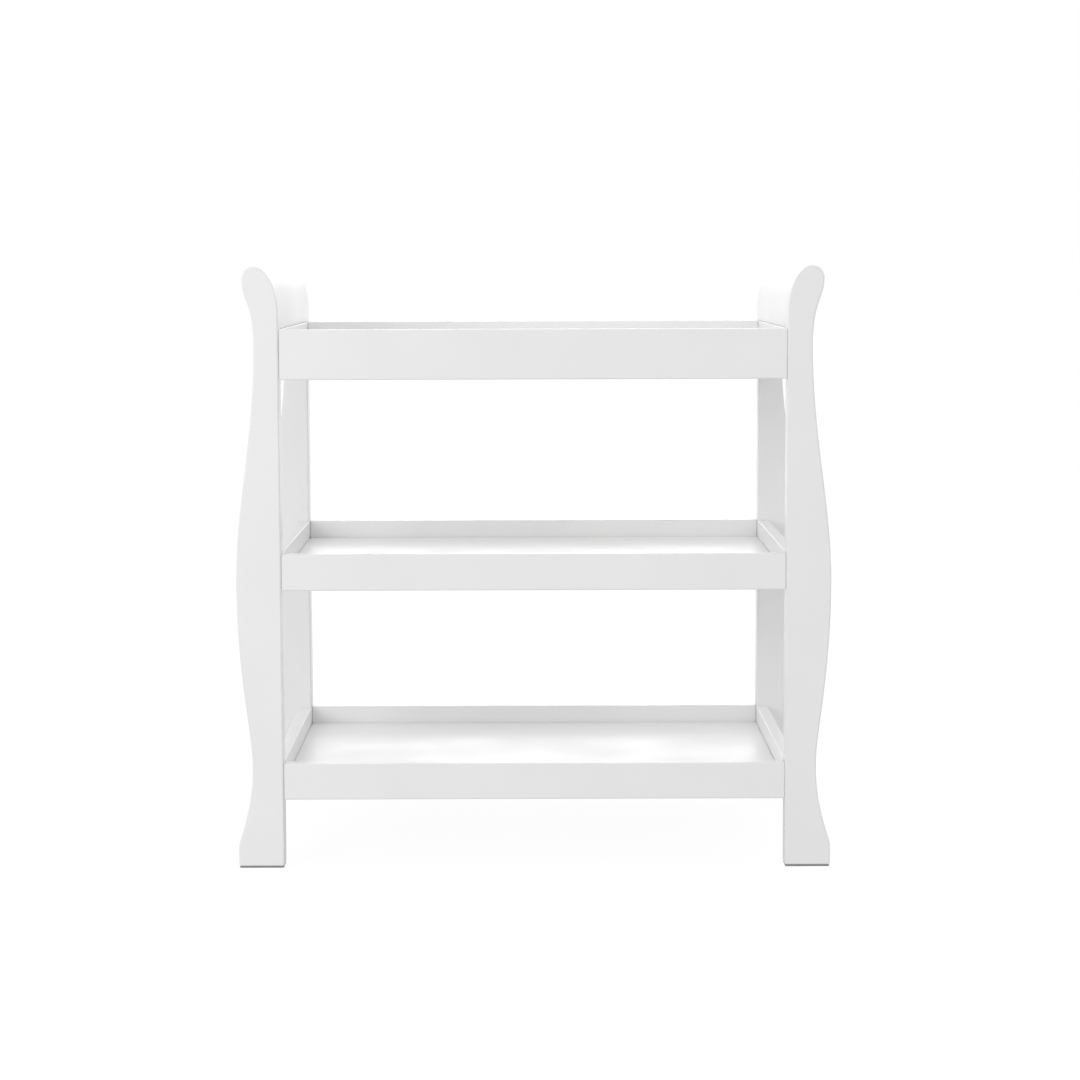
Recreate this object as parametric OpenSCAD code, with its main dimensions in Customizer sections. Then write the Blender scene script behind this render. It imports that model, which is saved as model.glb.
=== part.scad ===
// Changing table with sleigh-shaped ends: a tray on top, two open shelves below.
// X runs left to right, the front faces -Y, Z is up. The origin is on the floor, under the middle.

/* [Overall] */
// Clear width between the posts
inner_w = 800; // [600:5:1000]
// Front of the front posts to back of the back posts
depth = 560; // [400:5:700]
// Floor to the top edge of the tray's rails
tray_h = 859; // [760:1:1040]
// How far the rolled ends stand above the tray's rails
head_rise = 99; // [90:1:140]

/* [Posts] */
// Thickness of a post, front to back
post_d = 36; // [32:1:60]
// Width of the foot, measured from the post's inner face
foot_w = 72.5; // [60:0.5:100]
// Height of the foot's straight part
foot_h = 35; // [10:1:60]
// Width at the narrow part above the foot
waist_w = 49; // [40:0.5:60]
// Height of that narrow part
waist_z = 165; // [120:1:240]
// Width at the widest part
belly_w = 71.5; // [60:0.5:100]
// Height of the widest part
belly_z = 458; // [380:1:520]
// Width at the narrow part below the rolled top
neck_w = 39.5; // [36:0.5:60]
// How far that narrow part lies below the tray rails' top edge
neck_drop = 22; // [0:1:60]
// Radius of the rolled top
roll_r = 20; // [14:0.5:26]
// Distance from the post's inner face out to the roll's centre
roll_lean = 37; // [26:0.5:50]
// Height over which the inner face leans out to the roll
lean_h = 74; // [60:1:86]

/* [Rails] */
// Thickness of the front and back rails
rail_t = 22; // [18:0.5:28]
// How far the front and back rails lie behind the posts' outside faces
rail_set_back = 3; // [0:0.5:5]
// Thickness of the side rails
side_rail_t = 20; // [16:0.5:26]
// Thickness of the head rails where they start
head_rail_t = 22; // [18:0.5:30]
// Height of the tray's rails
tray_rail_h = 79; // [76:1:110]
// Height of the shelves' rails
shelf_rail_h = 58; // [54:1:80]
// Floor to the underside of the middle shelf's rails
middle_z = 446; // [400:1:520]
// Floor to the underside of the bottom shelf's rails
bottom_z = 110; // [60:1:160]

/* [Decks] */
// Thickness of the tray's floor and of the shelf boards
deck_t = 9; // [6:0.5:15]
// How far the tray's floor lies below its rails' top edge
tray_drop = 50; // [20:1:52]
// How far a shelf board lies below its rails' top edge
shelf_drop = 30; // [16:1:32]
// Gap left all round a deck
deck_gap = 0.5; // [0.3:0.1:2]
// Width and height of the cleats that carry the decks
cleat_t = 17; // [12:0.5:20]
// Gap between a cleat's end and the side rail
cleat_end_gap = 20; // [5:1:60]

/* [Fasteners] */
// Diameter of the rail bolts
bolt_d = 6; // [5:0.5:8]
// Length of the rail bolts under the head
bolt_len = 65; // [60:1:75]
// Diameter of a bolt's head
bolt_head_d = 10; // [8:0.5:12]
// Height of a bolt's head
bolt_head_h = 6; // [4:0.5:8]
// Width of the socket in a bolt's head, across its corners
socket_d = 5; // [3:0.5:7]
// Depth of that socket
socket_depth = 3; // [2:0.5:3.5]
// Diameter of the holes that take the bolts' heads and caps
counterbore_d = 12; // [11:0.5:14]
// Wood left between a bolt's head and the post's inner face
bolt_seat = 28; // [18:1:30]
// Height of the bolt above the middle of its rail
bolt_rise = 10; // [6:0.5:14]
// Diameter of the cross nuts
nut_d = 10; // [9:0.5:12]
// Length of the cross nuts
nut_len = 14; // [10:0.5:16]
// Distance from a rail's end to its cross nut
nut_inset = 30; // [20:1:32]
// Diameter of the dowels
dowel_d = 8; // [6:0.5:10]
// Depth of a dowel in each of the two pieces that it joins
dowel_bite = 16; // [10:0.5:20]
// Height of the locating dowel below the middle of its rail
dowel_fall = 16; // [12:0.5:20]
// Distance of a side rail's dowels from its top and bottom edges
dowel_edge = 15; // [10:0.5:20]
// Wood left between a bolt's hole and the dowels that cross behind it
dowel_web = 5; // [3:0.5:8]
// Thickness of the caps that close the bolt holes
cap_t = 3; // [2:0.5:4]
// How far a cap sits below the post's surface
cap_sink = 0.5; // [0.2:0.1:1]
// Diameter of the cleats' screws
screw_d = 4; // [3:0.5:5]
// Length of the cleats' screws
screw_len = 30; // [24:1:34]
// Screws in each cleat
screw_count = 4; // [2:1:6]
// Distance from a cleat's end to its first screw
screw_inset = 40; // [20:1:60]
// Gap between a bolt or a cap and its hole, all round
hole_gap = 0.25; // [0.1:0.05:0.5]

/* [Feet] */
// Thickness of the pads under the feet
pad_t = 2.5; // [2:0.5:5]
// How far a pad stays inside the foot's edge
pad_inset = 1; // [0:0.5:3]

/* [Hidden] */
$fn = 48;
SIDES = ["left", "right"];
ENDS = ["front", "back"];
TIERS = ["top", "middle", "bottom"];

// Colours of the finishes
PAINT = "white";
BARE_WOOD = "burlywood";
STEEL = "lightslategray";
PLASTIC = "whitesmoke";
RUBBER = "dimgray";

// Places that follow from the sizes above
total_h = tray_h + head_rise;
inner_x = inner_w / 2;
side_x = inner_x + side_rail_t / 2;
front_y = depth / 2;
bolt_y = front_y - rail_set_back - rail_t / 2;
end_gap_y = front_y - post_d;
rail_inner_y = front_y - rail_set_back - rail_t;
neck_z = tray_h - neck_drop;
roll_z = total_h - roll_r;
roll_w = roll_lean + roll_r;
bolt_hole_d = bolt_d + 2 * hole_gap;
frame_dowel_bite = bolt_y - end_gap_y - bolt_hole_d / 2 - dowel_web;
CUT = 1; // how far a cutting shape runs past the surface that it opens

// Steps along each curved stretch of an outline
CURVE_STEPS = 16;
// How far each curved stretch keeps upright at its lower and upper end, as shares of its height
FOOT_EASE = [0.08, 0.55];
BELLY_EASE = [0.19, 0.52];
NECK_EASE = [0.32, 0.39];
ROLL_EASE = [0.65, 0.31];

function rail_z(tier) = tier == "top" ? tray_h - tray_rail_h : tier == "middle" ? middle_z : bottom_z;
function rail_h(tier) = tier == "top" ? tray_rail_h : shelf_rail_h;
function rail_mid(tier) = rail_z(tier) + rail_h(tier) / 2;
function deck_z(tier) = rail_z(tier) + rail_h(tier) - (tier == "top" ? tray_drop : shelf_drop);
function bolt_z(tier) = rail_mid(tier) + bolt_rise;
function dowel_z(tier) = rail_mid(tier) - dowel_fall;
function side_dowel_heights(tier) = [rail_z(tier) + dowel_edge, rail_z(tier) + rail_h(tier) - dowel_edge];
function end_sign(end) = end == "front" ? -1 : 1;

// A smooth stretch from a up to b that leaves and arrives upright; b itself is left to the next stretch
function stretch(a, b, ease) =
    let (lower = a + [0, ease[0] * (b[1] - a[1])], upper = b - [0, ease[1] * (b[1] - a[1])])
    [for (i = [0 : CURVE_STEPS - 1]) let (t = i / CURVE_STEPS, u = 1 - t)
        u * u * u * a + 3 * u * u * t * lower + 3 * u * t * t * upper + t * t * t * b];

// The outer edge of a post as [distance from its inner face, height], from the foot up to the roll
function outer_edge() = concat(
    [[foot_w, pad_t]],
    stretch([foot_w, foot_h], [waist_w, waist_z], FOOT_EASE),
    stretch([waist_w, waist_z], [belly_w, belly_z], BELLY_EASE),
    stretch([belly_w, belly_z], [neck_w, neck_z], NECK_EASE),
    stretch([neck_w, neck_z], [roll_w, roll_z], ROLL_EASE)
);

// Over the roll from its outer side, then down the inner face's lean to where it is upright
function roll_and_lean() = concat(
    [for (i = [0 : CURVE_STEPS]) let (a = 90 * i / CURVE_STEPS)
        [roll_lean + roll_r * cos(a), roll_z + roll_r * sin(a)]],
    [for (i = [1 : CURVE_STEPS]) let (a = 90 * i / CURVE_STEPS)
        [roll_lean * (1 - sin(a)), total_h - lean_h * (1 - cos(a))]]
);

// How far a post reaches outwards at height z
function outer_at(z) = lookup(z, [for (p = outer_edge()) [p[1], p[0]]]);

module at_side(side) {
    mirror([side == "left" ? 1 : 0, 0, 0]) children();
}

// Stands an outline of [outwards, up] points on the right-hand inner face, from y0 back to y1
module stand(y0, y1) {
    translate([inner_x, y1, 0]) rotate([90, 0, 0]) linear_extrude(y1 - y0) children();
}

// A round bar along +X or +Y from the point at
module bar_x(at, d, len) {
    translate(at) rotate([0, 90, 0]) cylinder(d = d, h = len);
}

module bar_y(at, d, len) {
    translate(at) rotate([-90, 0, 0]) cylinder(d = d, h = len);
}

// Holes through a post for the bolt and the locating dowel of each tier's rail
module post_rail_holes(y) {
    for (tier = TIERS) {
        outer = outer_at(bolt_z(tier));
        bar_x([inner_x - CUT, y, bolt_z(tier)], bolt_hole_d, outer + 2 * CUT);
        bar_x([inner_x + bolt_seat, y, bolt_z(tier)], counterbore_d, outer);
        bar_x([inner_x - CUT, y, dowel_z(tier)], dowel_d, dowel_bite + CUT);
    }
}

// Blind holes for the dowels that join the end frame, which cross the gap between the posts along Y
module post_frame_holes(end) {
    back = end == "back";
    for (tier = TIERS, z = side_dowel_heights(tier))
        bar_y([side_x, back ? end_gap_y - CUT : -end_gap_y - frame_dowel_bite, z],
            dowel_d, frame_dowel_bite + CUT);
    for (p = head_dowels())
        bar_y([inner_x + p[0], back ? end_gap_y - CUT : -end_gap_y - frame_dowel_bite, p[1]],
            dowel_d, frame_dowel_bite + CUT);
}

// The two dowel places in a head rail's end, as [outwards, up]
function head_dowels() = [[head_rail_t / 2, tray_h + dowel_edge], [roll_lean, roll_z]];

module post(side, end) {
    color(PAINT) at_side(side) difference() {
        if (end == "front")
            stand(-front_y, -end_gap_y) polygon(concat([[0, pad_t]], outer_edge(), roll_and_lean()));
        else
            stand(end_gap_y, front_y) polygon(concat([[0, pad_t]], outer_edge(), roll_and_lean()));
        post_rail_holes(end_sign(end) * bolt_y);
        post_frame_holes(end);
    }
}

module foot_pad(side, end) {
    y = end_sign(end) * (front_y - post_d / 2);
    color(RUBBER) at_side(side)
        translate([inner_x + pad_inset, y - post_d / 2 + pad_inset, 0])
            cube([foot_w - 2 * pad_inset, post_d - 2 * pad_inset, pad_t]);
}

module head_rail(side) {
    color(PAINT) at_side(side) difference() {
        stand(-end_gap_y, end_gap_y) polygon(concat(
            [[0, tray_h]],
            stretch([head_rail_t, tray_h], [roll_w, roll_z], ROLL_EASE),
            roll_and_lean()
        ));
        for (p = head_dowels(), y = [-end_gap_y - CUT, end_gap_y - dowel_bite])
            bar_y([inner_x + p[0], y, p[1]], dowel_d, dowel_bite + CUT);
    }
}

module side_rail(side, tier) {
    color(PAINT) at_side(side) difference() {
        translate([inner_x, -end_gap_y, rail_z(tier)]) cube([side_rail_t, 2 * end_gap_y, rail_h(tier)]);
        for (z = side_dowel_heights(tier), y = [-end_gap_y - CUT, end_gap_y - dowel_bite])
            bar_y([side_x, y, z], dowel_d, dowel_bite + CUT);
    }
}

// A front or back rail; its cross nuts go in from the back face of either one
module rail(tier, end) {
    y = end_sign(end) * bolt_y;
    color(PAINT) difference() {
        translate([-inner_x, y - rail_t / 2, rail_z(tier)]) cube([inner_w, rail_t, rail_h(tier)]);
        for (side = SIDES) at_side(side) {
            bolt_hole = bolt_len - bolt_seat + CUT;
            bar_x([inner_x - bolt_hole, y, bolt_z(tier)], bolt_hole_d, bolt_hole + CUT);
            bar_x([inner_x - dowel_bite, y, dowel_z(tier)], dowel_d, dowel_bite + CUT);
            bar_y([inner_x - nut_inset, y - nut_len / 2, bolt_z(tier)], nut_d, rail_t);
        }
        at_screws(tier, end) screw();
    }
}

module deck(tier) {
    w = inner_w - 2 * deck_gap;
    d = 2 * (rail_inner_y - deck_gap);
    color(PAINT) translate([-w / 2, -d / 2, deck_z(tier) - deck_t]) cube([w, d, deck_t]);
}

function screw_x(i) = let (run = inner_x - cleat_end_gap - screw_inset) run * (2 * i / (screw_count - 1) - 1);

// A countersunk screw along +Y, its head's flat at y = 0
module screw() {
    bar_y([0, 0, 0], screw_d, screw_len);
    rotate([-90, 0, 0]) cylinder(d1 = 2 * screw_d, d2 = screw_d, h = screw_d / 2);
}

// Puts a screw in each screw place of the front cleat; the back cleat's are the same, turned round
module at_screws(tier, end) {
    z = deck_z(tier) - deck_t - cleat_t / 2;
    for (i = [0 : screw_count - 1])
        rotate([0, 0, end == "front" ? 180 : 0])
            translate([screw_x(i), rail_inner_y - cleat_t, z]) children();
}

module cleat(tier, end) {
    len = inner_w - 2 * cleat_end_gap;
    y = end == "front" ? -rail_inner_y : rail_inner_y - cleat_t;
    color(BARE_WOOD) difference() {
        translate([-len / 2, y, deck_z(tier) - deck_t - cleat_t]) cube([len, cleat_t, cleat_t]);
        at_screws(tier, end) screw();
    }
}

module cleat_screws(tier) {
    color(STEEL) for (end = ENDS) at_screws(tier, end) screw();
}

// Runs its children at every bolt of one side, at the post's inner face on the bolt's axis
module at_bolts(side) {
    at_side(side) for (tier = TIERS, end = ENDS) {
        $outer = outer_at(bolt_z(tier));
        translate([inner_x, end_sign(end) * bolt_y, bolt_z(tier)]) children();
    }
}

module rail_bolts(side) {
    color(STEEL) at_bolts(side) difference() {
        union() {
            bar_x([bolt_seat - bolt_len, 0, 0], bolt_d, bolt_len);
            bar_x([bolt_seat, 0, 0], bolt_head_d, bolt_head_h);
        }
        translate([bolt_seat + bolt_head_h - socket_depth, 0, 0]) rotate([0, 90, 0])
            cylinder(d = socket_d, h = socket_depth + CUT, $fn = 6);
    }
}

module cross_nuts(side) {
    color(STEEL) at_bolts(side) translate([-nut_inset, 0, 0]) difference() {
        bar_y([0, -nut_len / 2, 0], nut_d, nut_len);
        bar_x([-nut_d, 0, 0], bolt_d, 2 * nut_d);
    }
}

module bolt_caps(side) {
    color(PLASTIC) at_bolts(side)
        bar_x([$outer - cap_sink - cap_t, 0, 0], counterbore_d - 2 * hole_gap, cap_t);
}

module locating_dowels(side) {
    color(BARE_WOOD) at_side(side) for (tier = TIERS, end = ENDS)
        bar_x([inner_x - dowel_bite, end_sign(end) * bolt_y, dowel_z(tier)], dowel_d, 2 * dowel_bite);
}

module end_frame_dowels(side) {
    color(BARE_WOOD) at_side(side) {
        for (tier = TIERS, z = side_dowel_heights(tier)) {
            bar_y([side_x, -end_gap_y - frame_dowel_bite, z], dowel_d, frame_dowel_bite + dowel_bite);
            bar_y([side_x, end_gap_y - dowel_bite, z], dowel_d, frame_dowel_bite + dowel_bite);
        }
        for (p = head_dowels()) {
            bar_y([inner_x + p[0], -end_gap_y - frame_dowel_bite, p[1]], dowel_d, frame_dowel_bite + dowel_bite);
            bar_y([inner_x + p[0], end_gap_y - dowel_bite, p[1]], dowel_d, frame_dowel_bite + dowel_bite);
        }
    }
}

for (side = SIDES, end = ENDS) {
    post(side, end);
    foot_pad(side, end);
}
for (side = SIDES, tier = TIERS)
    side_rail(side, tier);
for (tier = TIERS, end = ENDS) {
    rail(tier, end);
    cleat(tier, end);
}
for (tier = TIERS) {
    deck(tier);
    cleat_screws(tier);
}
for (side = SIDES) {
    head_rail(side);
    rail_bolts(side);
    cross_nuts(side);
    bolt_caps(side);
    locating_dowels(side);
    end_frame_dowels(side);
}
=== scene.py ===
# %% [markdown]
# # A white changing table with sleigh ends
#
# The table is a tray with two open shelves below it, held between four posts sawn to a long S.
# The CAD model gives every board its true size and place, with sharp edges and no finish.
# This lesson gives the boards the eased edges, drilled holes and satin paint of the real thing.

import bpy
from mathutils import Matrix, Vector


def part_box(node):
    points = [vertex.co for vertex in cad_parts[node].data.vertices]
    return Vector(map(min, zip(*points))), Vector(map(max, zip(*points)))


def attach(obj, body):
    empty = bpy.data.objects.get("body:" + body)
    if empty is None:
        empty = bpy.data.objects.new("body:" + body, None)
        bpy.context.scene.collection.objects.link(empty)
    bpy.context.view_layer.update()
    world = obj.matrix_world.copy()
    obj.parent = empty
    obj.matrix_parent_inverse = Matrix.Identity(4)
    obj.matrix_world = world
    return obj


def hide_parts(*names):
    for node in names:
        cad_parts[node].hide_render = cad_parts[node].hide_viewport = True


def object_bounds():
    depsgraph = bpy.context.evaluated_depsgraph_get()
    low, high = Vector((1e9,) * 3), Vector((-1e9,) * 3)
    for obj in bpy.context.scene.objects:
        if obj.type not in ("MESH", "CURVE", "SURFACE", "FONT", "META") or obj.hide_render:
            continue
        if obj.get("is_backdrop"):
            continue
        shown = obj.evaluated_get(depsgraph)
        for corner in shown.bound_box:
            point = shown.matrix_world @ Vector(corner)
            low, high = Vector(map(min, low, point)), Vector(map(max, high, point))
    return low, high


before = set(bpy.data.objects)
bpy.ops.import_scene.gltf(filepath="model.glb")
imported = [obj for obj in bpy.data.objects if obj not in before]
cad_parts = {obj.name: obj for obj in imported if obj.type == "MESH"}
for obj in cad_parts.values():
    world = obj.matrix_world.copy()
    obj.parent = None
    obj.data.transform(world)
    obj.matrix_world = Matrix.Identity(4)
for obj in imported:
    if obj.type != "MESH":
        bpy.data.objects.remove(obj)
cad_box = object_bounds()
print("CAD nodes:", len(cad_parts))

# %% [markdown]
# Two more modules do the work: bmesh shapes meshes with the same tools as the editor's Edit Mode,
# and math turns degrees into radians. All lengths below are in metres.

# %% Modules and names used throughout
import math

import bmesh
import bpy
from mathutils import Matrix, Vector

X, Y, Z = 0, 1, 2
SIDES = ("left", "right")
ENDS = ("front", "back")
TIERS = ("top", "middle", "bottom")
TINY = 1e-5
table_low, table_high = cad_box
print("Table size in mm:", [round(1000 * s) for s in table_high - table_low])

# %% [markdown]
# The camera comes first, so that each piece can be looked at as soon as it is made. The table is seen
# squarely from the front, from a little above its top, with a long lens. Part of the downward look is a
# tilt and part is a lens shift, which keeps the upright posts nearly parallel.

# %% Camera
EYE_DISTANCE = 4.027
EYE_HEIGHT = 0.9634
LENS_MM = 85.44
SENSOR_MM = 36.0
LOOK_DOWN = 5.516
SHIFT_DOWN = 0.028
SHIFT_ACROSS = 0.006
ROLL = -0.17

camera = bpy.data.objects.new("camera", bpy.data.cameras.new("camera"))
bpy.context.scene.collection.objects.link(camera)
bpy.context.scene.camera = camera
camera.data.sensor_width = SENSOR_MM
camera.data.lens = LENS_MM
camera.data.shift_x = SHIFT_ACROSS
camera.data.shift_y = -SHIFT_DOWN
camera.location = (0, table_low.y - EYE_DISTANCE, EYE_HEIGHT)
tilt = Matrix.Rotation(math.radians(90 - LOOK_DOWN), 4, "X")
camera.rotation_euler = (tilt @ Matrix.Rotation(math.radians(ROLL), 4, "Z")).to_euler()
print("Camera at", [round(c, 3) for c in camera.location])

# %% [markdown]
# A finish is a small network of shader nodes. Each one starts from Object coordinates, which are metres
# in the table's own frame, so a pattern keeps its true size on every board. A few short helpers keep the
# networks readable: they add a node, make a noise that can be stretched along the grain, turn it into a
# range of numbers or colours, and raise the surface by it. A Mix node has several sockets of the same
# name, one set for numbers and one for colours, so its sockets are picked by their place in the list.

# %% Helpers for finishes
MIX_FACTOR = 0
MIX_NUMBERS = (2, 3)
MIX_NUMBER_OUT = 0
MIX_COLOURS = (6, 7)
MIX_COLOUR_OUT = 2


def new_finish(name):
    """A new material, with its node tree and its Principled shader."""
    finish = bpy.data.materials.new(name)
    finish.use_nodes = True
    return finish, finish.node_tree, finish.node_tree.nodes["Principled BSDF"]


def add_node(tree, kind, **settings):
    """A node of that kind with its settings made."""
    node = tree.nodes.new(kind)
    for key, value in settings.items():
        setattr(node, key, value)
    return node


def noise(tree, scale, detail=3.0, rough=0.5):
    """The factor of a noise in Object coordinates; scale gives its waves per metre along X, Y and Z."""
    place = add_node(tree, "ShaderNodeTexCoord")
    stretch = add_node(tree, "ShaderNodeMapping")
    stretch.inputs["Scale"].default_value = scale
    texture = add_node(tree, "ShaderNodeTexNoise")
    texture.inputs["Scale"].default_value = 1.0
    texture.inputs["Detail"].default_value = detail
    texture.inputs["Roughness"].default_value = rough
    tree.links.new(place.outputs["Object"], stretch.inputs["Vector"])
    tree.links.new(stretch.outputs["Vector"], texture.inputs["Vector"])
    return texture.outputs["Fac"]


def grain_waves(axis, lengthways, crossways):
    """Waves per metre along X, Y and Z, with their own number along the grain's axis."""
    waves = [crossways] * 3
    waves[axis] = lengthways
    return waves


def between(tree, factor, low, high, start=0.3, end=0.7):
    """Turns a factor from start to end into a number from low to high."""
    spread = add_node(tree, "ShaderNodeMapRange")
    for key, value in (("From Min", start), ("From Max", end), ("To Min", low), ("To Max", high)):
        spread.inputs[key].default_value = value
    tree.links.new(factor, spread.inputs["Value"])
    return spread.outputs["Result"]


def blend_colours(tree, factor, first, second):
    """A colour between two others, each a plain colour or another node's output."""
    mix = add_node(tree, "ShaderNodeMix", data_type="RGBA")
    tree.links.new(factor, mix.inputs[MIX_FACTOR])
    for number, colour in zip(MIX_COLOURS, (first, second)):
        if isinstance(colour, bpy.types.NodeSocket):
            tree.links.new(colour, mix.inputs[number])
        else:
            mix.inputs[number].default_value = (*colour, 1)
    return mix.outputs[MIX_COLOUR_OUT]


def bump(tree, height, depth, under=None):
    """Raises the surface by a factor times depth, on top of another bump's result."""
    node = add_node(tree, "ShaderNodeBump")
    node.inputs["Distance"].default_value = depth
    tree.links.new(height, node.inputs["Height"])
    if under is not None:
        tree.links.new(under, node.inputs["Normal"])
    return node.outputs["Normal"]


print("Helpers for finishes are ready")

# %% [markdown]
# The boards are sprayed with a satin white lacquer. Three things keep a white lacquer from looking like
# plain plastic: the grain of the wood shows through as long, very shallow ridges, the sprayed film has
# a fine orange peel, and its gloss varies a little from place to place. On the rounded edges the film is
# thinner, so those carry an attribute called eased that lets a trace of the darker primer through. That
# darker tint on every rounded edge is also painted shade, standing in for the shade in the grooves where
# two boards meet.
# The grain runs along each board, so there is one lacquer for each direction.

# %% White lacquer
LACQUER = (0.92, 0.92, 0.92)
LACQUER_SHADE = (0.895, 0.897, 0.90)
# The darker primer tint on the rounded edges is partly a thinner film and partly painted shade for the
# grooves between boards.
PRIMER_TINT_AND_GROOVE_SHADE = (0.80, 0.795, 0.785)
GRAIN_ALONG = 5.0
GRAIN_ACROSS = 260.0
GRAIN_DEPTH = 0.00004
PEEL_WAVES = 420.0
PEEL_DEPTH = 0.000012
PATCH_WAVES = 7.0
LACQUER_ROUGH = (0.30, 0.40)
# How patchy and how strong the darker edge tint is, which is partly thin film and partly painted shade.
EDGE_TINT_AND_SHADE_WAVES = 30.0
EDGE_TINT_AND_SHADE_MOST = 0.4


def white_lacquer(axis):
    """The lacquer on boards whose grain runs along an axis."""
    finish, tree, shader = new_finish("white_lacquer_" + "xyz"[axis])
    patches = noise(tree, [PATCH_WAVES] * 3, detail=2.0)
    grain = noise(tree, grain_waves(axis, GRAIN_ALONG, GRAIN_ACROSS), detail=4.0, rough=0.6)
    peel = noise(tree, [PEEL_WAVES] * 3, detail=1.0)
    flat = blend_colours(tree, between(tree, patches, 0, 1), LACQUER, LACQUER_SHADE)
    # Painted shade and thin film: the rounded edges are darkened towards the primer tint by a patchy
    # share.
    edge = add_node(tree, "ShaderNodeAttribute", attribute_name="eased")
    edge_tint_and_shade = add_node(tree, "ShaderNodeMath", operation="MULTIPLY")
    tree.links.new(edge.outputs["Fac"], edge_tint_and_shade.inputs[0])
    tree.links.new(between(tree, noise(tree, [EDGE_TINT_AND_SHADE_WAVES] * 3), 0.0, EDGE_TINT_AND_SHADE_MOST), edge_tint_and_shade.inputs[1])
    tree.links.new(blend_colours(tree, edge_tint_and_shade.outputs["Value"], flat, PRIMER_TINT_AND_GROOVE_SHADE), shader.inputs["Base Color"])
    tree.links.new(between(tree, patches, *LACQUER_ROUGH), shader.inputs["Roughness"])
    tree.links.new(bump(tree, peel, PEEL_DEPTH, bump(tree, grain, GRAIN_DEPTH)), shader.inputs["Normal"])
    return finish


LACQUERED = {axis: white_lacquer(axis) for axis in (X, Y, Z)}
print("Lacquers:", [finish.name for finish in LACQUERED.values()])

# %% [markdown]
# Under the decks the table shows what it is made of: planed pine cleats and beech dowels, zinc-plated
# screws and cross nuts. White plastic caps close the bolt holes, and grey rubber pads protect the floor.
# Waves are counted per metre, and depths are in metres.

# %% Bare wood, steel, plastic and rubber
LINES_ALONG = 4.0
LINES_ACROSS = 160.0
LINE_DEPTH = 0.0001
LATE_WOOD = (0.42, 0.62)
PORES_ALONG = 40.0
PORES_ACROSS = 900.0
PORE_DEPTH = 0.00008
PORE_DARKNESS = 0.35
WOOD_ROUGH = (0.55, 0.7)
ZINC_BRIGHT = (0.62, 0.63, 0.66)
ZINC_DULL = (0.50, 0.51, 0.53)
ZINC_WAVES = 300.0
ZINC_ROUGH = (0.28, 0.45)
TURNING_WAVES = 2500.0
TURNING_DEPTH = 0.00001
MOULDED_WAVES = 60.0
ROUGH_SPREAD = 0.12


def bare_wood(name, axis, early, late):
    """Planed wood with its grain along an axis: pale early wood with darker late wood in fine lines."""
    finish, tree, shader = new_finish(name)
    lines = noise(tree, grain_waves(axis, LINES_ALONG, LINES_ACROSS))
    pores = noise(tree, grain_waves(axis, PORES_ALONG, PORES_ACROSS), detail=2.0)
    wood = blend_colours(tree, between(tree, lines, 0, 1, *LATE_WOOD), early, late)
    worn = blend_colours(tree, between(tree, pores, 0, PORE_DARKNESS), wood, late)
    tree.links.new(worn, shader.inputs["Base Color"])
    tree.links.new(between(tree, lines, *WOOD_ROUGH), shader.inputs["Roughness"])
    tree.links.new(bump(tree, pores, PORE_DEPTH, bump(tree, lines, LINE_DEPTH)), shader.inputs["Normal"])
    return finish


def zinc_steel():
    """Zinc-plated steel: bright, with faint turning marks and dull patches."""
    finish, tree, shader = new_finish("zinc_steel")
    patches = noise(tree, [ZINC_WAVES] * 3)
    marks = noise(tree, [TURNING_WAVES] * 3, detail=1.0)
    colour = blend_colours(tree, between(tree, patches, 0, 1), ZINC_BRIGHT, ZINC_DULL)
    tree.links.new(colour, shader.inputs["Base Color"])
    shader.inputs["Metallic"].default_value = 1.0
    tree.links.new(between(tree, patches, *ZINC_ROUGH), shader.inputs["Roughness"])
    tree.links.new(bump(tree, marks, TURNING_DEPTH), shader.inputs["Normal"])
    return finish


def moulded(name, colour, shade, rough, waves, depth):
    """A moulded plastic or rubber: one colour with slight patches, and a fine matte skin."""
    finish, tree, shader = new_finish(name)
    patches = noise(tree, [MOULDED_WAVES] * 3)
    skin = noise(tree, [waves] * 3, detail=1.0)
    tint = blend_colours(tree, between(tree, patches, 0, 1), colour, shade)
    tree.links.new(tint, shader.inputs["Base Color"])
    tree.links.new(between(tree, skin, rough, rough + ROUGH_SPREAD), shader.inputs["Roughness"])
    tree.links.new(bump(tree, skin, depth), shader.inputs["Normal"])
    return finish


PINE = bare_wood("planed_pine", X, (0.74, 0.56, 0.36), (0.58, 0.38, 0.20))
BEECH = bare_wood("beech_dowel", Y, (0.62, 0.43, 0.27), (0.50, 0.32, 0.19))
ZINC = zinc_steel()
CAP_PLASTIC = moulded("cap_plastic", (0.86, 0.86, 0.86), (0.83, 0.83, 0.835), 0.42, 1800.0, 0.00001)
PAD_RUBBER = moulded("pad_rubber", (0.30, 0.30, 0.30), (0.25, 0.25, 0.25), 0.7, 1500.0, 0.00004)
print("Other finishes:", [m.name for m in (PINE, BEECH, ZINC, CAP_PLASTIC, PAD_RUBBER)])

# %% [markdown]
# Every board has one outline all along its length, like a cut from a moulding. Cutting its CAD node
# straight across gives that outline exactly. The cut is made where no drilled hole passes, so the
# outline comes out whole, and it is then pushed out again to the board's full length.

# %% Make a plain board from its CAD node
STRAIGHT = math.radians(0.2)


def along(axis, distance):
    """A vector of that length along an axis."""
    vector = Vector()
    vector[axis] = distance
    return vector


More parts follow.
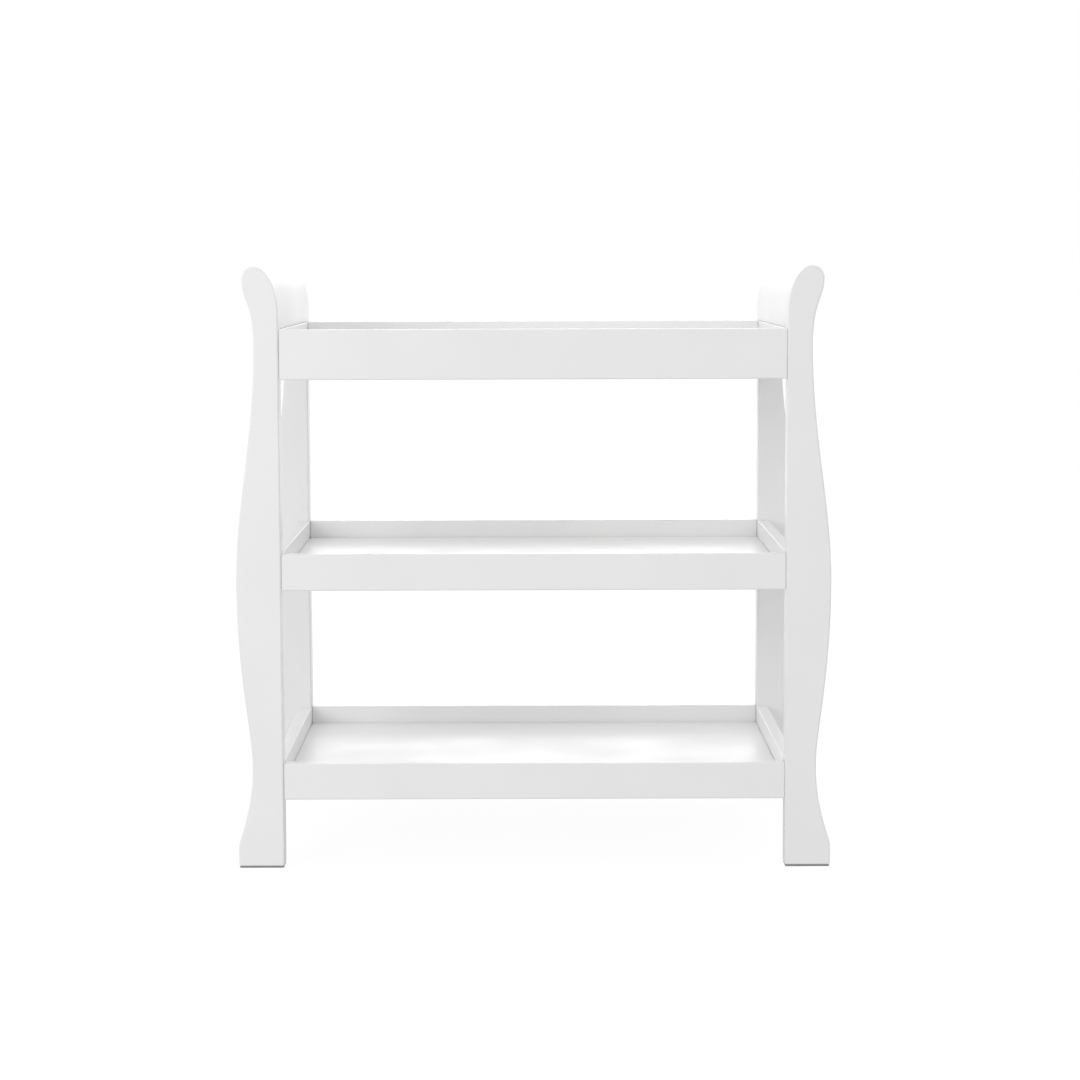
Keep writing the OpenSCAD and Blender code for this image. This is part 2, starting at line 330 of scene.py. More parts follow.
def board(node, axis, at):
    """A bmesh of the node without its holes: its outline across the axis, cut at that place."""
    low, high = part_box(node)
    bm = bmesh.new()
    bm.from_mesh(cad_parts[node].data)
    bmesh.ops.remove_doubles(bm, verts=bm.verts, dist=TINY)
    everything = bm.verts[:] + bm.edges[:] + bm.faces[:]
    bmesh.ops.bisect_plane(
        bm,
        geom=everything,
        plane_co=along(axis, at),
        plane_no=along(axis, 1),
        clear_inner=True,
        clear_outer=True,
    )
    bmesh.ops.remove_doubles(bm, verts=bm.verts, dist=TINY)
    bmesh.ops.contextual_create(bm, geom=bm.edges[:])
    bmesh.ops.dissolve_limit(bm, angle_limit=STRAIGHT, verts=bm.verts, edges=bm.edges)
    bmesh.ops.translate(bm, verts=bm.verts, vec=along(axis, low[axis] - at))
    grown = bmesh.ops.extrude_face_region(bm, geom=bm.faces[:])
    far_end = [g for g in grown["geom"] if isinstance(g, bmesh.types.BMVert)]
    bmesh.ops.translate(bm, verts=far_end, vec=along(axis, high[axis] - low[axis]))
    bmesh.ops.recalc_face_normals(bm, faces=bm.faces)
    return bm


sample = board("left_head_rail", Y, 0)
print("A head rail's outline has", len(sample.verts) // 2, "points")
print("Its mesh is closed:", all(edge.is_manifold for edge in sample.edges))
sample.free()

# %% [markdown]
# No real board has a knife edge. A router or sandpaper rounds the corners, and the rounding is what
# catches the light and draws a fine line round every board. Bevel does the same to a mesh: each sharp
# edge becomes a few narrow faces. Their corners are marked in the eased attribute for the lacquer.

# %% Round a board's edges
SHARP = math.radians(25)


def ease(bm, radius, segments=3):
    """Rounds every sharp edge of a bmesh and marks the new faces as eased."""
    eased = bm.loops.layers.float.new("eased")
    corners = [e for e in bm.edges if e.calc_face_angle(0) > SHARP]
    made = bmesh.ops.bevel(
        bm,
        geom=corners,
        offset=radius,
        offset_type="OFFSET",
        segments=segments,
        profile=0.5,
        affect="EDGES",
        clamp_overlap=True,
        material=-1,
    )
    # These marks tell the lacquer where to paint its darker edge tint, partly thin film and partly painted
    # shade.
    for face in made["faces"]:
        for corner in face.loops:
            corner[eased] = 1.0
    return bm


print("Edges sharper than", round(math.degrees(SHARP)), "degrees are rounded")

# %% [markdown]
# A finished mesh becomes an object that rides on the table's one body and stands in for its CAD node.
# Weighted normals keep the broad faces flat to the eye, so that only the rounded edges shade off.

# %% Turn a mesh into a finished piece
CREASE = math.radians(40)
BROAD_FACE_WEIGHT = 80


def add_piece(name, bm, finish, slot, *nodes):
    """Makes an object of a bmesh, with its finish, in place of the CAD nodes."""
    mesh = bpy.data.meshes.new(name)
    bm.to_mesh(mesh)
    bm.free()
    mesh.materials.append(finish)
    piece = bpy.data.objects.new(name, mesh)
    bpy.context.scene.collection.objects.link(piece)
    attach(piece, "root")
    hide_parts(*nodes)
    return piece


def settle_shading(piece):
    """Smooth shading with sharp corners kept, led by the broad faces."""
    piece.data.polygons.foreach_set("use_smooth", [True] * len(piece.data.polygons))
    piece.data.set_sharp_from_angle(angle=CREASE)
    weigh = piece.modifiers.new("weigh_normals", "WEIGHTED_NORMAL")
    weigh.keep_sharp = True
    weigh.weight = BROAD_FACE_WEIGHT


# %% [markdown]
# Fasteners of one kind share a CAD node, so their places are read from the separate solids in it.
# Each box then gives the hole that its fastener needs: a start, an end, and the radius at both.
# What a box can't tell is given here: the size of a bolt's shank and the height of its head, the little
# play round everything that is pushed into a hole, what a hole is cut longer than its fastener, and how
# far a hole that breaks out of the wood is cut beyond its surface.

# %% Where the fasteners are
SHANK_RADIUS = 0.003
HEAD_HEIGHT = 0.006
PLAY = 0.00025
SPARE = 0.001
BREAK_OUT = 0.006


def loose_boxes(*nodes):
    """The lowest and highest corner of every separate solid in some nodes."""
    boxes = []
    for node in nodes:
        bm = bmesh.new()
        bm.from_mesh(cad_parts[node].data)
        bmesh.ops.remove_doubles(bm, verts=bm.verts, dist=TINY)
        waiting = set(bm.verts)
        while waiting:
            reached = [waiting.pop()]
            for vert in reached:
                near = {edge.other_vert(vert) for edge in vert.link_edges} & waiting
                waiting -= near
                reached.extend(near)
            spans = [[v.co[axis] for v in reached] for axis in (X, Y, Z)]
            boxes.append((Vector(map(min, spans)), Vector(map(max, spans))))
        bm.free()
    return sorted(boxes, key=lambda box: [round(c, 4) for c in (*box[0], *box[1])])


BOLTS = loose_boxes("left_rail_bolts", "right_rail_bolts")
CAPS = loose_boxes("left_bolt_caps", "right_bolt_caps")
NUTS = loose_boxes("left_cross_nuts", "right_cross_nuts")
LOCATING_DOWELS = loose_boxes("left_locating_dowels", "right_locating_dowels")
FRAME_DOWELS = loose_boxes("left_end_frame_dowels", "right_end_frame_dowels")
SCREWS = loose_boxes(*(tier + "_cleat_screws" for tier in TIERS))
print("Bolts, caps, nuts:", len(BOLTS), len(CAPS), len(NUTS))
print("Dowels, screws:", len(LOCATING_DOWELS) + len(FRAME_DOWELS), len(SCREWS))

# %% [markdown]
# A fastener's box is turned into two end points on its axis. From those come the holes: a bolt passes
# through the post and on into the rail, and a wide counterbore takes its head and cap. A cross nut goes
# in from the rail's back face. Dowels bridge two boards, and a cleat's screws are countersunk.

# %% The holes that they need
def axis_ends(box, axis):
    """The two points where a box's middle line along an axis starts and ends."""
    low, high = box
    start = (low + high) / 2
    end = start.copy()
    start[axis], end[axis] = low[axis], high[axis]
    return start, end


def round_radius(box, axis):
    """Half of the widest size across an axis."""
    low, high = box
    return max(high[a] - low[a] for a in (X, Y, Z) if a != axis) / 2


def outward(box, axis):
    """The box's two ends on an axis, the one nearer the middle of the table first."""
    return sorted(axis_ends(box, axis), key=lambda point: abs(point[axis]))


def straight_hole(box, axis, start_spare=SPARE, end_spare=SPARE):
    """A hole for a round bar, a little wider, and longer by what is spare at each end."""
    start, end = axis_ends(box, axis)
    radius = round_radius(box, axis) + PLAY
    return start - along(axis, start_spare), end + along(axis, end_spare), radius, radius


HOLES = {kind: [] for kind in ("bolt", "counterbore", "nut", "dowel", "screw", "countersink")}
for bolt in BOLTS:
    tip, top = outward(bolt, X)
    way = (top - tip).normalized()
    cap = min(CAPS, key=lambda box: (outward(box, X)[1] - top).length)
    seat = top - way * HEAD_HEIGHT
    radius = round_radius(cap, X) + PLAY
    HOLES["bolt"].append((tip - way * SPARE, top, SHANK_RADIUS + PLAY, SHANK_RADIUS + PLAY))
    HOLES["counterbore"].append((seat, outward(cap, X)[1] + way * BREAK_OUT, radius, radius))
HOLES["nut"] = [straight_hole(nut, Y, 0, BREAK_OUT) for nut in NUTS]
HOLES["dowel"] = [straight_hole(dowel, X) for dowel in LOCATING_DOWELS]
HOLES["dowel"] += [straight_hole(dowel, Y) for dowel in FRAME_DOWELS]
for screw in SCREWS:
    face, tip = outward(screw, Y)
    way = (tip - face).normalized()
    head = round_radius(screw, Y)
    HOLES["screw"].append((face - way * SPARE, tip + way * SPARE, head / 2, head / 2))
    HOLES["countersink"].append((face - way * SPARE, face + way * head / 2, head + SPARE, head / 2))
print("Holes of each kind:", {kind: len(holes) for kind, holes in HOLES.items()})

# %% [markdown]
# A Boolean modifier takes one mesh out of another, as a drill does. The holes of one kind never meet,
# so they can share a cutter, and kinds that cross, such as bolt and nut, each get a modifier of their
# own. When the piece has been drilled, the modifiers' result is kept and the cutters are thrown away.

# %% Drill a piece
def new_object(name, bm):
    """An object of a bmesh, which is freed."""
    mesh = bpy.data.meshes.new(name)
    bm.to_mesh(mesh)
    bm.free()
    made = bpy.data.objects.new(name, mesh)
    bpy.context.scene.collection.objects.link(made)
    return made


def turn_to(start, end):
    """The turn that points Z from one place to another."""
    return (end - start).to_track_quat("Z", "Y").to_matrix().to_4x4()


def add_bar(bm, start, end, radius, end_radius, sides=40):
    """Adds a closed round bar, or a cone, between two points."""
    bmesh.ops.create_cone(
        bm,
        cap_ends=True,
        segments=sides,
        radius1=radius,
        radius2=end_radius,
        depth=(end - start).length,
        matrix=Matrix.Translation((start + end) / 2) @ turn_to(start, end),
    )


def reaches(hole, box):
    """Whether a hole comes inside a box."""
    start, end, radius, end_radius = hole
    low, high = box
    wide = Vector([max(radius, end_radius)] * 3)
    first = Vector(map(min, start, end)) - wide
    last = Vector(map(max, start, end)) + wide
    return all(first[a] < high[a] and last[a] > low[a] for a in (X, Y, Z))


def subtract(piece, cutter):
    """Gives the piece a modifier that takes the cutter's shape out of it."""
    cut = piece.modifiers.new("cut", "BOOLEAN")
    cut.operation = "DIFFERENCE"
    cut.solver = "EXACT"
    cut.object = cutter


def drill(piece, box):
    """Drills every hole that reaches into the piece's box, and returns how many there are."""
    cutters = []
    drilled = 0
    for holes in HOLES.values():
        bits = [hole for hole in holes if reaches(hole, box)]
        if bits:
            bm = bmesh.new()
            for bit in bits:
                add_bar(bm, *bit)
            cutters.append(new_object("cutter", bm))
            subtract(piece, cutters[-1])
            drilled += len(bits)
    bpy.context.view_layer.update()
    shaped = piece.evaluated_get(bpy.context.evaluated_depsgraph_get())
    piece.data, before = bpy.data.meshes.new_from_object(shaped), piece.data
    piece.modifiers.clear()
    bpy.data.meshes.remove(before)
    for cutter in cutters:
        bpy.data.objects.remove(cutter)
    return drilled


def add_board(name, shape, finish, slot, node):
    """Makes a piece of a board's shape, drills it and settles its shading."""
    piece = add_piece(name, shape, finish, slot, node)
    holes = drill(piece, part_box(node))
    settle_shading(piece)
    print(piece.name, len(piece.data.polygons), "faces,", holes, "holes")


print("Cutters are made as they are needed")

# %% [markdown]
# The four posts carry the character of the table: a splayed foot, a narrow ankle, a full belly, a slim
# neck and a rolled top. Each is sawn from one board, so it is one outline with its edges rounded.
# The outline is read just behind the post's outside face, where no hole reaches.

# %% Posts
POST_EDGE = 0.003
SKIN = 0.001

for side in SIDES:
    for end in ENDS:
        node = f"{side}_{end}_post"
        low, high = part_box(node)
        cut_at = low.y + SKIN if end == "front" else high.y - SKIN
        shape = ease(board(node, Y, cut_at), POST_EDGE)
        add_board("painted_" + node, shape, LACQUERED[Z], "white_paint", node)

# %% [markdown]
# Between the posts of each end, a head rail carries the rolled top across from front to back, and three
# side rails close the ends of the tray and the shelves. Long front and back rails join the two ends.
# All are boards with rounded edges, and where two meet, their edges make a fine V-shaped groove.

# %% Head rails and side rails
HEAD_EDGE = 0.003
RAIL_EDGE = 0.002

for side in SIDES:
    for name, edge in [("head_rail", HEAD_EDGE)] + [(tier + "_side_rail", RAIL_EDGE) for tier in TIERS]:
        node = f"{side}_{name}"
        shape = ease(board(node, Y, 0), edge)
        add_board("painted_" + node, shape, LACQUERED[Y], "white_paint", node)

# %% Front and back rails
for tier in TIERS:
    for end in ENDS:
        node = f"{tier}_{end}_rail"
        shape = ease(board(node, Z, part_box(node)[1].z - SKIN), RAIL_EDGE)
        add_board("painted_" + node, shape, LACQUERED[X], "white_paint", node)

# %% [markdown]
# The decks are thin painted boards with no holes. Under them run square pine cleats, screwed to the rails.

# %% Decks and cleats
DECK_EDGE = 0.0008
CLEAT_EDGE = 0.001

for tier in TIERS:
    node = tier + "_deck"
    low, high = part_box(node)
    shape = ease(board(node, Z, (low.z + high.z) / 2), DECK_EDGE)
    deck = add_piece("painted_" + node, shape, LACQUERED[X], "white_paint", node)
    settle_shading(deck)
    print(deck.name, len(deck.data.polygons), "faces")
    for end in ENDS:
        node = f"{tier}_{end}_cleat"
        shape = ease(board(node, X, 0), CLEAT_EDGE, segments=2)
        add_board("pine_" + node, shape, PINE, "bare_wood", node)

# %% [markdown]
# Screws, bolts, caps and dowels are turned parts, round about one axis. Half of such a part's outline is
# drawn once, as a turner would see it, and Spin takes it a full turn round the axis. One part is made
# standing at the origin, and then copied to every place where the CAD model has one.

# %% Turn a part and copy it to its places
def turned(profile, steps=32):
    """A closed bmesh of an outline of (radius, height) points, spun a full turn about Z."""
    bm = bmesh.new()
    points = [bm.verts.new((radius, 0, height)) for radius, height in profile]
    outline = [bm.edges.new(pair) for pair in zip(points, points[1:])]
    bmesh.ops.spin(
        bm,
        geom=points + outline,
        cent=(0, 0, 0),
        axis=(0, 0, 1),
        angle=math.tau,
        steps=steps,
        use_merge=True,
    )
    bmesh.ops.remove_doubles(bm, verts=bm.verts, dist=TINY)
    bmesh.ops.recalc_face_normals(bm, faces=bm.faces)
    return bm


def copies(part, places):
    """One bmesh with a copy of the part at each place; a place is its start and its end."""
    stock = bpy.data.meshes.new("stock")
    part.to_mesh(stock)
    part.free()
    bm = bmesh.new()
    for start, end in places:
        before = len(bm.verts)
        bm.from_mesh(stock)
        bm.verts.ensure_lookup_table()
        stand = Matrix.Translation(start) @ turn_to(start, end)
        bmesh.ops.transform(bm, matrix=stand, verts=bm.verts[before:])
    bpy.data.meshes.remove(stock)
    return bm


def on_side(boxes, side):
    """The boxes that lie on the left or on the right of the table."""
    return [box for box in boxes if (box[0].x + box[1].x > 0) == (side == "right")]


def length_of(box, axis):
    """How long a box is along an axis."""
    return box[1][axis] - box[0][axis]


print("A test bar has", len(turned([(0, 0), (0.01, 0), (0.01, 0.02), (0, 0.02)]).faces), "faces")

# %% [markdown]
# White caps close the bolt holes in the outer faces of the posts. They are moulded with a low dome and a
# rounded rim, and sit just below the paint, so each one shows as a small round button in a dark ring.

# %% Bolt caps
CAP_RIM = 0.0007
CAP_DOME = 0.0006
DOME_INSET = 0.3 * CAP_RIM
DOME_STEPS = 6

cap_radius = round_radius(CAPS[0], X)
cap_height = length_of(CAPS[0], X)
cap_rim_height = cap_height - CAP_DOME
cap_profile = [
    (0, 0),
    (cap_radius - CAP_RIM, 0),
    (cap_radius, CAP_RIM),
    (cap_radius, cap_rim_height - CAP_RIM),
]
for step in range(DOME_STEPS + 1):
    share = step / DOME_STEPS
    radius = (cap_radius - DOME_INSET) * math.cos(share * math.pi / 2)
    cap_profile.append((radius, cap_rim_height + CAP_DOME * math.sin(share * math.pi / 2)))

for side in SIDES:
    places = [outward(box, X) for box in on_side(CAPS, side)]
    shape = copies(turned(cap_profile), places)
    caps = add_piece(f"domed_{side}_bolt_caps", shape, CAP_PLASTIC, "white_plastic", side + "_bolt_caps")
    settle_shading(caps)
    print(caps.name, len(places), "caps,", len(caps.data.polygons), "faces")

# %% [markdown]
# A thread is a ridge that climbs as it goes round. Spin does that too: each step of the turn also moves
# the ridge's triangle a little along the axis. The ridge is as wide as a share of the pitch, and a
# little higher than the thread is deep: it sinks into the shank, so no gap shows between.
# The bolt's hexagon socket and the screw's cross are cut with shapes that are taken out afterwards.

# %% Threads and sockets
RIDGE_WIDTH = 0.8
SUNK_RIDGE = 1.2


def add_thread(bm, radius, start, end, pitch, height, steps=14):
    """Winds a triangular ridge round a shank, from start to end along Z."""
    half = RIDGE_WIDTH * pitch / 2
    triangle = [
        bm.verts.new((radius - height, 0, start - half)),
        bm.verts.new((radius, 0, start)),
        bm.verts.new((radius - height, 0, start + half)),
    ]
    ridge = bm.faces.new(triangle)
    turns = (end - start) / pitch
    bmesh.ops.spin(
        bm,
        geom=[ridge, *ridge.edges, *triangle],
        cent=(0, 0, 0),
        axis=(0, 0, 1),
        dvec=(0, 0, pitch / steps),
        angle=math.tau * turns,
        steps=round(turns * steps),
    )
    bmesh.ops.recalc_face_normals(bm, faces=bm.faces)


def take_out(bm, *cutters):
    """The bmesh with each cutter's shape taken out of it."""
    part = new_object("part", bm)
    tools = [new_object("cutter", cutter) for cutter in cutters]
    for tool in tools:
        subtract(part, tool)
    bpy.context.view_layer.update()
    shaped = part.evaluated_get(bpy.context.evaluated_depsgraph_get())
    result = bmesh.new()
    result.from_mesh(shaped.to_mesh())
    shaped.to_mesh_clear()
    for used in (part, *tools):
        mesh = used.data
        bpy.data.objects.remove(used)
        bpy.data.meshes.remove(mesh)
    return result


def block(size, centre, narrow=1.0):
    """A box of that size about a centre; its lower end is narrowed to a share of its width and depth."""
    bm = bmesh.new()
    bmesh.ops.create_cube(bm, size=1.0)
    bmesh.ops.scale(bm, verts=bm.verts, vec=size)
    lower = [v for v in bm.verts if v.co.z < 0]
    bmesh.ops.scale(bm, verts=lower, vec=(narrow, narrow, 1))
    bmesh.ops.translate(bm, verts=bm.verts, vec=centre)
    return bm


def bar(start, end, radius, sides=32):
    """A bmesh of one round bar; 6 sides make a hexagon."""
    bm = bmesh.new()
    add_bar(bm, Vector(start), Vector(end), radius, radius, sides)
    return bm


print("Threads are wound and sockets are cut")

# %% [markdown]
# The rails are pulled to the posts by socket-head bolts, which screw into steel cross nuts inside the
# rails. The nut is a short bar with a threaded hole across it, and a slot in its end for turning the
# hole in line with the bolt. The slots show from behind, at the bottom of the nuts' holes.

# %% Rail bolts and cross nuts
BOLT_PITCH = 0.001
BOLT_THREAD = 0.024
THREAD_DEPTH = 0.0005
CHAMFER = 0.0005
SOCKET_RADIUS = 0.0025
SOCKET_DEPTH = 0.003
SLOT_WIDTH = 0.0016
SLOT_DEPTH = 0.0018
SLOT_REACH = 3
HOLE_REACH = 2

bolt_length = length_of(BOLTS[0], X)
bolt_head = round_radius(BOLTS[0], X)
under_head = bolt_length - HEAD_HEIGHT
root = SHANK_RADIUS - THREAD_DEPTH
bolt_profile = [
    (0, 0),
    (root - CHAMFER, 0),
    (root, CHAMFER),
    (root, BOLT_THREAD),
    (SHANK_RADIUS, BOLT_THREAD + CHAMFER),
    (SHANK_RADIUS, under_head),
    (bolt_head, under_head),
    (bolt_head, bolt_length - CHAMFER),
    (bolt_head - CHAMFER, bolt_length),
    (0, bolt_length),
]
nut_length = length_of(NUTS[0], Y)
nut_radius = round_radius(NUTS[0], Y)
nut_profile = [
    (0, 0),
    (nut_radius - CHAMFER, 0),
    (nut_radius, CHAMFER),
    (nut_radius, nut_length - CHAMFER),
    (nut_radius - CHAMFER, nut_length),
    (0, nut_length),
]
for side in SIDES:
    socket = bar((0, 0, bolt_length - SOCKET_DEPTH), (0, 0, bolt_length + SPARE), SOCKET_RADIUS, sides=6)
    bolt = take_out(turned(bolt_profile), socket)
    ridge = SUNK_RIDGE * THREAD_DEPTH
    add_thread(bolt, SHANK_RADIUS, 2 * BOLT_PITCH, BOLT_THREAD - BOLT_PITCH, BOLT_PITCH, ridge)
    places = [outward(box, X) for box in on_side(BOLTS, side)]
    shape = copies(bolt, places)
    bolts = add_piece(f"socket_{side}_rail_bolts", shape, ZINC, "steel", side + "_rail_bolts")
    settle_shading(bolts)
    slot = block((SLOT_REACH * nut_radius, SLOT_WIDTH, 2 * SLOT_DEPTH), (0, 0, nut_length))
    reach = HOLE_REACH * nut_radius
    hole = bar((-reach, 0, nut_length / 2), (reach, 0, nut_length / 2), SHANK_RADIUS)
    nut = take_out(turned(nut_profile), slot, hole)
    places = [axis_ends(box, Y) for box in on_side(NUTS, side)]
    shape = copies(nut, places)
    nuts = add_piece(f"slotted_{side}_cross_nuts", shape, ZINC, "steel", side + "_cross_nuts")
    settle_shading(nuts)
    print(bolts.name, len(bolts.data.polygons), "faces;", nuts.name, len(nuts.data.polygons), "faces")

# %% [markdown]
# The cleats are held by countersunk wood screws: a flat head with a cross recess, a cone under it that
# fits the countersink, and a coarse thread that runs out to a point.

# %% Cleat screws
SCREW_PITCH = 0.0018
SCREW_THREAD_DEPTH = 0.0006
POINT_LENGTH = 0.004
RECESS_WIDTH = 0.0009
RECESS_LENGTH = 0.0042
RECESS_DEPTH = 0.002
RECESS_TAPER = 0.4
THREADED = 0.7
RUN_OUT = 0.02
SHANK_SLIMMER = 0.2 * SCREW_THREAD_DEPTH
HEAD_RIM = 0.0003
SCREW_STEPS = 24
SCREW_THREAD_STEPS = 12

screw_length = length_of(SCREWS[0], Y)
screw_head = round_radius(SCREWS[0], Y)
screw_radius = screw_head / 2
core = screw_radius - SCREW_THREAD_DEPTH
plain_radius = screw_radius - SHANK_SLIMMER
under_cone = screw_length - screw_radius
screw_profile = [
    (0, 0),
    (core, POINT_LENGTH),
    (core, THREADED * screw_length),
    (plain_radius, (THREADED + RUN_OUT) * screw_length),
    (plain_radius, under_cone),
    (screw_head, screw_length - HEAD_RIM),
    (screw_head, screw_length),
    (0, screw_length),
]
for tier in TIERS:
    node = tier + "_cleat_screws"
    top = (0, 0, screw_length)
    arm = block((RECESS_LENGTH, RECESS_WIDTH, 2 * RECESS_DEPTH), top, RECESS_TAPER)
    cross_arm = block((RECESS_WIDTH, RECESS_LENGTH, 2 * RECESS_DEPTH), top, RECESS_TAPER)
    screw = take_out(turned(screw_profile, SCREW_STEPS), arm, cross_arm)
    ridge = SUNK_RIDGE * SCREW_THREAD_DEPTH
    thread_end = (THREADED - RUN_OUT) * screw_length
    add_thread(screw, screw_radius, POINT_LENGTH, thread_end, SCREW_PITCH, ridge, SCREW_THREAD_STEPS)
    places = [outward(box, Y)[::-1] for box in loose_boxes(node)]
    screws = add_piece("cross_" + node, copies(screw, places), ZINC, "steel", node)
    settle_shading(screws)
    print(screws.name, len(places), "screws,", len(screws.data.polygons), "faces")

# %% [markdown]
# Beech dowels line the boards up. Their grooves let the glue out, and their ends are chamfered so that
# they start easily. Every second column of points on a turned bar is drawn in to make the grooves.

# %% Dowels
DOWEL_CHAMFER = 0.001
GROOVE = 0.92
DOWEL_STEPS = 36


def fluted_dowel(radius, length):
    """A dowel standing on Z, with shallow grooves along it."""
    inner = radius - DOWEL_CHAMFER
    lower = [(0, 0), (inner, 0), (radius, DOWEL_CHAMFER)]
    upper = [(radius, length - DOWEL_CHAMFER), (inner, length), (0, length)]
    bm = turned(lower + upper, DOWEL_STEPS)
    for vert in bm.verts:
        column = round(math.atan2(vert.co.y, vert.co.x) / (math.tau / DOWEL_STEPS))
        if column % 2:
            vert.co.xy *= GROOVE
    return bm


for side in SIDES:
    for kind, boxes, axis in (("locating", LOCATING_DOWELS, X), ("end_frame", FRAME_DOWELS, Y)):
        node = f"{side}_{kind}_dowels"
        mine = on_side(boxes, side)
        dowel = fluted_dowel(round_radius(mine[0], axis), length_of(mine[0], axis))
        places = [axis_ends(box, axis) for box in mine]
        dowels = add_piece("fluted_" + node, copies(dowel, places), BEECH, "bare_wood", node)
        settle_shading(dowels)
        print(dowels.name, len(places), "dowels,", len(dowels.data.polygons), "faces")

# %% [markdown]
# Under each foot is a thin grey rubber pad with rounded corners. It keeps the paint off the floor, and
# the dark line that it leaves under the foot sets the table down firmly.

# %% Foot pads
PAD_CORNER = 0.003
PAD_CORNER_STEPS = 5
PAD_EDGE = 0.0005

for side in SIDES:
    for end in ENDS:
        node = f"{side}_{end}_foot_pad"
        low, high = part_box(node)
        bm = block(high - low, (low + high) / 2)
        upright = [e for e in bm.edges if abs(e.verts[0].co.z - e.verts[1].co.z) > SKIN]
        bmesh.ops.bevel(
            bm,
            geom=upright,
            offset=PAD_CORNER,
            segments=PAD_CORNER_STEPS,
            profile=0.5,
            affect="EDGES",
            material=-1,
        )
        shape = ease(bm, PAD_EDGE, segments=2)
        pad = add_piece("rounded_" + node, shape, PAD_RUBBER, "dark_rubber", node)
        settle_shading(pad)
        print(pad.name, len(pad.data.polygons), "faces")

# %% [markdown]
# The table stands on a plain white floor that runs on as far as the eye can see, as in a studio where the
# paper sweeps up behind the object. In a finished picture such paper is pure white, but it throws much
# less light than that on the table. So the floor glows more to the camera than to the table, and it takes
# a faint shadow where the table keeps light away. Far behind the table the paper is lit more strongly,
# and the inner faces of the posts mirror it.

# %% White floor
FLOOR_SIZE = 60.0
FLOOR_SEEN = 0.91
FLOOR_GIVES = 0.5
FLOOR_GIVES_BEHIND = 1.1
BEHIND_STARTS = (1.0, 3.0)
FLOOR_TAKES = 0.12
FLOOR_ROUGH = 0.9


def seen_or_given(tree, seen, given):
    """A number for the camera, and an output in its place for the light that reaches the table."""
    path = add_node(tree, "ShaderNodeLightPath")
    choose = add_node(tree, "ShaderNodeMix", data_type="FLOAT")
    other_rays, camera_rays = (choose.inputs[number] for number in MIX_NUMBERS)
    tree.links.new(path.outputs["Is Camera Ray"], choose.inputs[MIX_FACTOR])
    tree.links.new(given, other_rays)
    camera_rays.default_value = seen
    return choose.outputs[MIX_NUMBER_OUT]


bm = bmesh.new()
bmesh.ops.create_grid(bm, x_segments=1, y_segments=1, size=FLOOR_SIZE / 2)
floor = new_object("floor", bm)
floor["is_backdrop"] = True
floor_finish, tree, shader = new_finish("white_floor")
shader.inputs["Base Color"].default_value = (FLOOR_TAKES, FLOOR_TAKES, FLOOR_TAKES, 1)
shader.inputs["Roughness"].default_value = FLOOR_ROUGH
shader.inputs["Specular IOR Level"].default_value = 0.0
shader.inputs["Emission Color"].default_value = (1, 1, 1, 1)
place = add_node(tree, "ShaderNodeTexCoord")
way = add_node(tree, "ShaderNodeSeparateXYZ")
tree.links.new(place.outputs["Object"], way.inputs[0])
given = between(tree, way.outputs["Y"], FLOOR_GIVES, FLOOR_GIVES_BEHIND, *BEHIND_STARTS)
tree.links.new(seen_or_given(tree, FLOOR_SEEN, given), shader.inputs["Emission Strength"])
floor.data.materials.append(floor_finish)
print("The floor is", FLOOR_SIZE, "m wide")

# %% [markdown]
# The light is a white room rather than a lamp. It is weaker in front of the table than behind it, which
# leaves the front faces a soft grey. Low down behind the table runs a brighter strip: the shelves are
# seen at so flat an angle that they mirror it, and shine. The camera sees plain white all round.

# %% White room
FRONT_LIGHT = 0.82
BACK_LIGHT = 0.28
STRIP_LIGHT = 2.6
BEHIND = (-0.4, 0.8)
STRIP_WAY = (0.95, 0.985)
STRIP_FOOT = (0.06, 0.14)
STRIP_TOP = (0.55, 0.35)
BACKDROP = 1.0

room = bpy.data.worlds.new("white_room")
bpy.context.scene.world = room
room.use_nodes = True
tree = room.node_tree
shader = tree.nodes["Background"]
place = add_node(tree, "ShaderNodeTexCoord")
way = add_node(tree, "ShaderNodeSeparateXYZ")
tree.links.new(place.outputs["Generated"], way.inputs[0])


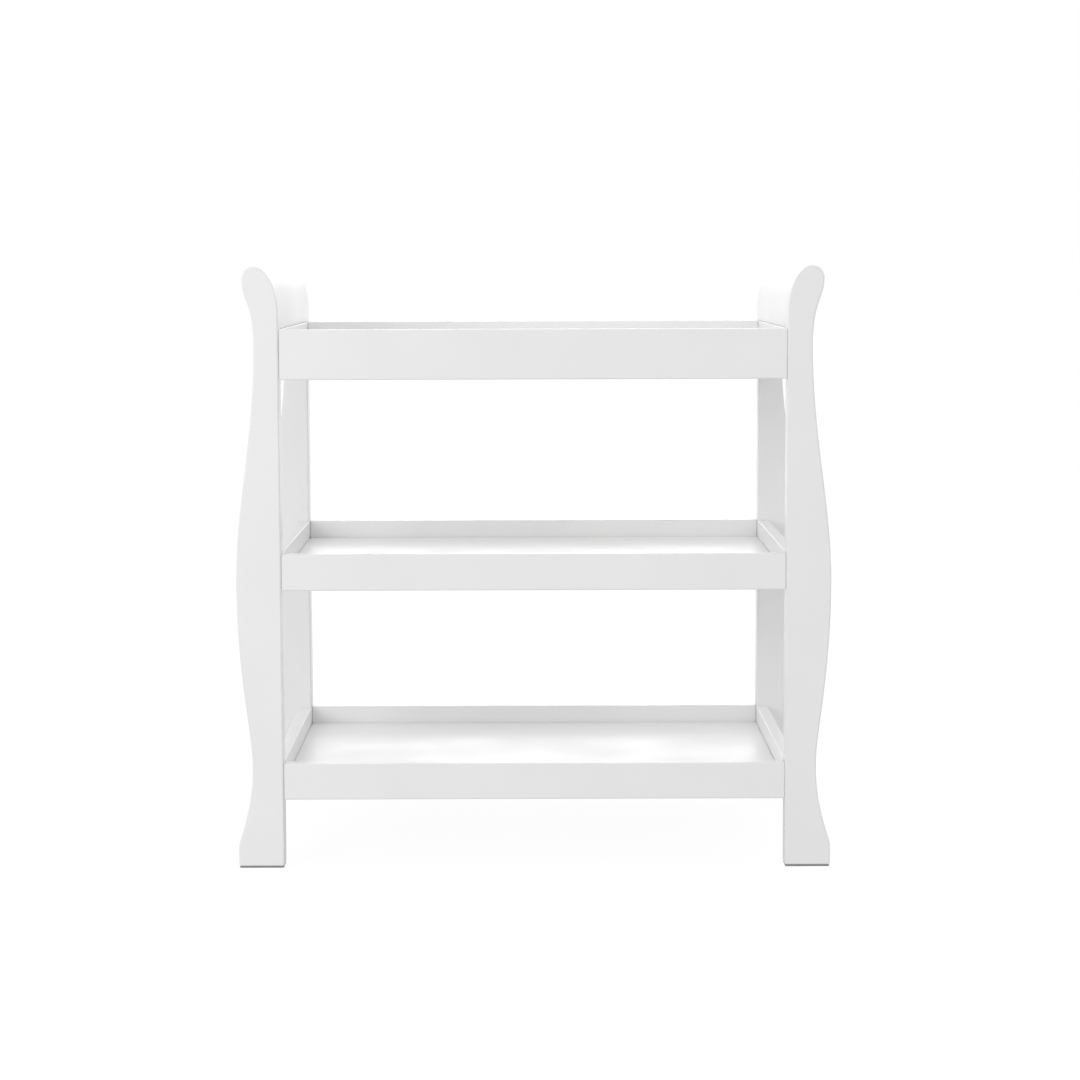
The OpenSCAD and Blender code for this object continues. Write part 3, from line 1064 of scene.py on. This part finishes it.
def combine(operation, first, second):
    """The sum or product of two outputs."""
    node = add_node(tree, "ShaderNodeMath", operation=operation)
    tree.links.new(first, node.inputs[0])
    tree.links.new(second, node.inputs[1])
    return node.outputs["Value"]


around = between(tree, way.outputs["Y"], FRONT_LIGHT, FRONT_LIGHT + BACK_LIGHT, *BEHIND)
strip_sides = between(tree, way.outputs["Y"], 0.0, STRIP_LIGHT, *STRIP_WAY)
strip_foot = between(tree, way.outputs["Z"], 0.0, 1.0, *STRIP_FOOT)
strip_top = between(tree, way.outputs["Z"], 0.0, 1.0, *STRIP_TOP)
strip = combine("MULTIPLY", strip_sides, combine("MULTIPLY", strip_foot, strip_top))
light = combine("ADD", around, strip)
tree.links.new(seen_or_given(tree, BACKDROP, light), shader.inputs["Strength"])
shader.inputs["Color"].default_value = (1, 1, 1, 1)
print("Room light from", FRONT_LIGHT, "in front to", FRONT_LIGHT + BACK_LIGHT, "behind")

# %% [markdown]
# One large softbox stands in front on the left. It is only a little stronger than the room, so the
# faces darken slightly from left to right, and their rounded edges catch a thin line of light.

# %% Softbox
SOFTBOX_PLACE = Vector((-2.2, -3.0, 1.4))
SOFTBOX_AIM = Vector((0, 0, 0.45))
SOFTBOX_SIZE = 1.5
SOFTBOX_WATTS = 27.0

softbox = bpy.data.lights.new("softbox", "AREA")
softbox.shape = "SQUARE"
softbox.size = SOFTBOX_SIZE
softbox.energy = SOFTBOX_WATTS
lamp = bpy.data.objects.new("softbox", softbox)
bpy.context.scene.collection.objects.link(lamp)
lamp.location = SOFTBOX_PLACE
lamp.rotation_euler = (SOFTBOX_AIM - SOFTBOX_PLACE).to_track_quat("-Z", "Y").to_euler()
print("Softbox", round((SOFTBOX_AIM - SOFTBOX_PLACE).length, 2), "m from the table")

# %% [markdown]
# Last, whites are shown as they are, with no film curve. The CAD model's box and the finished model's
# box are written down to be compared: the finish must not change the size of the table.

# %% Measure and finish
bpy.context.scene.view_settings.view_transform = "Standard"

visual_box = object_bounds()
corners = zip((*visual_box[0], *visual_box[1]), (*table_low, *table_high))
growth = [round(1000 * (finished - cad), 2) for finished, cad in corners]
print("The finished model's box differs from the CAD box, in mm, by", growth)
